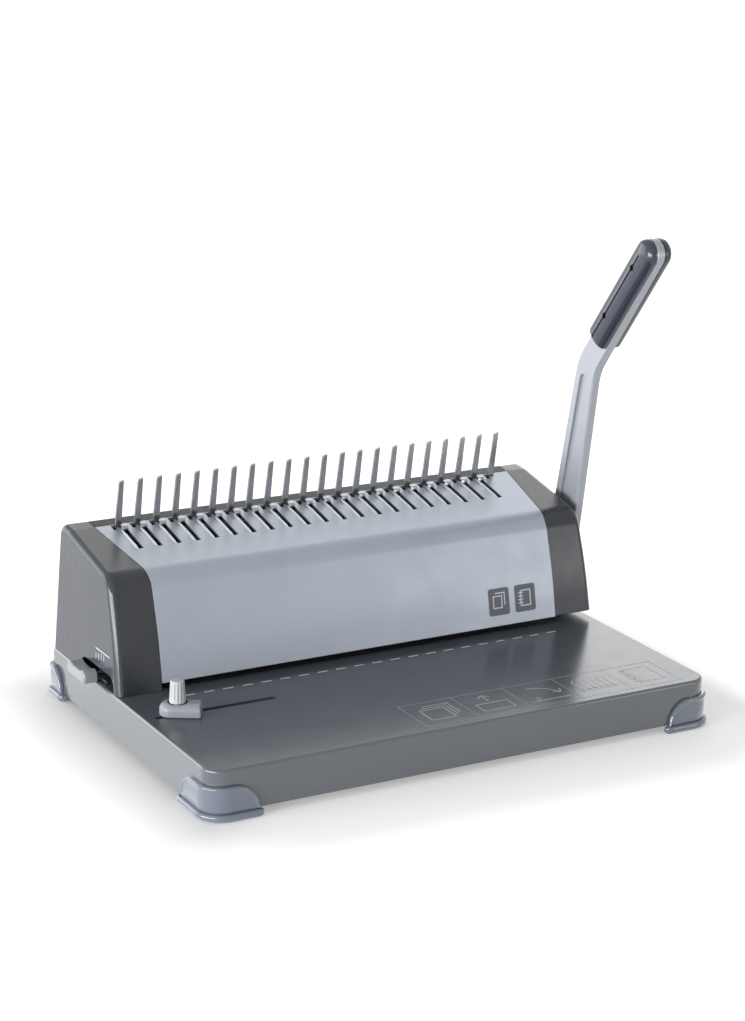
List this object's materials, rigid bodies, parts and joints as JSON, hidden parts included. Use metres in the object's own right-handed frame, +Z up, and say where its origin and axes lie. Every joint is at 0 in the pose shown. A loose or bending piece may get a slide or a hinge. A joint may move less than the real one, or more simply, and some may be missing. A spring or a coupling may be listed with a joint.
{
  "type": "comb binding machine",
  "caption": "Desktop comb binding machine: flat tray, paper throat with punches, upright comb teeth with sliding hooks, and one swinging handle.",
  "frame": {"origin": "centre of the tray in plan, at the table under the feet", "axes": "+X right along the comb, +Y to the rear, +Z up; handle standing at its rest angle"},
  "size_m": [0.4042, 0.2712, 0.3223],
  "materials": {
    "tray": "semi-gloss dark grey paint",
    "zinc": "zinc-plated sheet",
    "foot": "glossy blue-grey moulding",
    "cap": "dark grey moulding",
    "cover": "satin silver paint",
    "ridge": "dark grey moulding",
    "steel": "bright steel",
    "brass": "turned bearing metal",
    "arm": "satin light silver",
    "grip": "dark blue-grey moulding",
    "pale": "pale grey moulding",
    "drawer": "dark grey moulding"
  },
  "bodies": {
    "machine": {"base_tray": "tray", "bottom_plate": "zinc", "foot_front_left": "foot", "foot_front_right": "foot", "foot_rear_left": "foot", "foot_rear_right": "foot", "left_end_cap": "cap", "right_end_cap": "cap", "front_cover": "cover", "rear_cover": "ridge", "comb_rack": "steel", "left_side_frame": "zinc", "right_side_frame": "zinc", "left_shaft_bush": "brass", "right_shaft_bush": "brass", "tie_rods": "steel", "die_plate": "steel", "punch_guide_plate": "steel", "throat_spacer": "steel", "punch_guide_posts": "steel", "left_hook_rail": "zinc", "right_hook_rail": "zinc", "guide_pins": "steel", "crank_pin": "steel"},
    "handle": {"main_shaft": "steel", "shaft_ring": "steel", "hub_washer": "steel", "hub_screw": "steel", "handle_arm": "arm", "inner_grip_half": "grip", "outer_grip_half": "grip", "grip_screws": "steel", "left_sector": "steel", "right_sector": "steel", "left_cam": "steel", "right_cam": "steel"},
    "punch": {"punch_bar": "steel", "punches": "steel", "left_yoke": "steel", "right_yoke": "steel"},
    "hooks": {"hook_plate": "steel", "left_rack": "steel", "right_rack": "steel"},
    "drawer": {"chip_drawer": "drawer", "drawer_front": "drawer"},
    "guide": {"guide_block": "pale", "clamp_nut": "steel"},
    "clamp": {"guide_knob": "pale", "knob_stud": "steel"},
    "depth_lever": {"depth_slide": "steel", "lever_knob": "pale"},
    "crank": {"depth_crank": "steel"},
    "stop": {"margin_stop": "steel"}
  },
  "joints": [
    {"name": "handle_swing", "type": "hinge", "parent": "machine", "child": "handle", "pos_m": [0, 0.07, 0.076], "axis": [1, 0, 0], "range_deg": [0, 75]},
    {"name": "punch_stroke", "type": "slide", "parent": "machine", "child": "punch", "axis": [0, 0, -1], "range_m": [0, 0.0086]},
    {"name": "hook_stroke", "type": "slide", "parent": "machine", "child": "hooks", "axis": [0, -0.9793, -0.2024], "range_m": [0, 0.0247]},
    {"name": "drawer_pull", "type": "slide", "parent": "machine", "child": "drawer", "axis": [1, 0, 0], "range_m": [0, 0.25]},
    {"name": "guide_shift", "type": "slide", "parent": "machine", "child": "guide", "axis": [1, 0, 0], "range_m": [-0.007, 0.063]},
    {"name": "clamp_turn", "type": "hinge", "parent": "guide", "child": "clamp", "pos_m": [-0.165, -0.0277, 0.045], "axis": [0, 0, 1], "range_deg": [-180, 0]},
    {"name": "depth_shift", "type": "slide", "parent": "machine", "child": "depth_lever", "axis": [0, -1, 0], "range_m": [0, 0.022]},
    {"name": "crank_turn", "type": "hinge", "parent": "machine", "child": "crank", "pos_m": [-0.146, 0.0525, 0.037], "axis": [0, 0, 1], "range_deg": [0, 34.8]},
    {"name": "stop_shift", "type": "slide", "parent": "machine", "child": "stop", "axis": [0, 1, 0], "range_m": [0, 0.0053]}
  ],
  "couplings": [
    {"joint": "punch_stroke", "follows": "handle_swing", "m_per_rad": 0.0065},
    {"joint": "hook_stroke", "follows": "handle_swing", "m_per_rad": 0.01875},
    {"joint": "crank_turn", "follows": "depth_shift", "rad_per_m": 27.56},
    {"joint": "stop_shift", "follows": "depth_shift", "ratio": 0.23909}
  ]
}
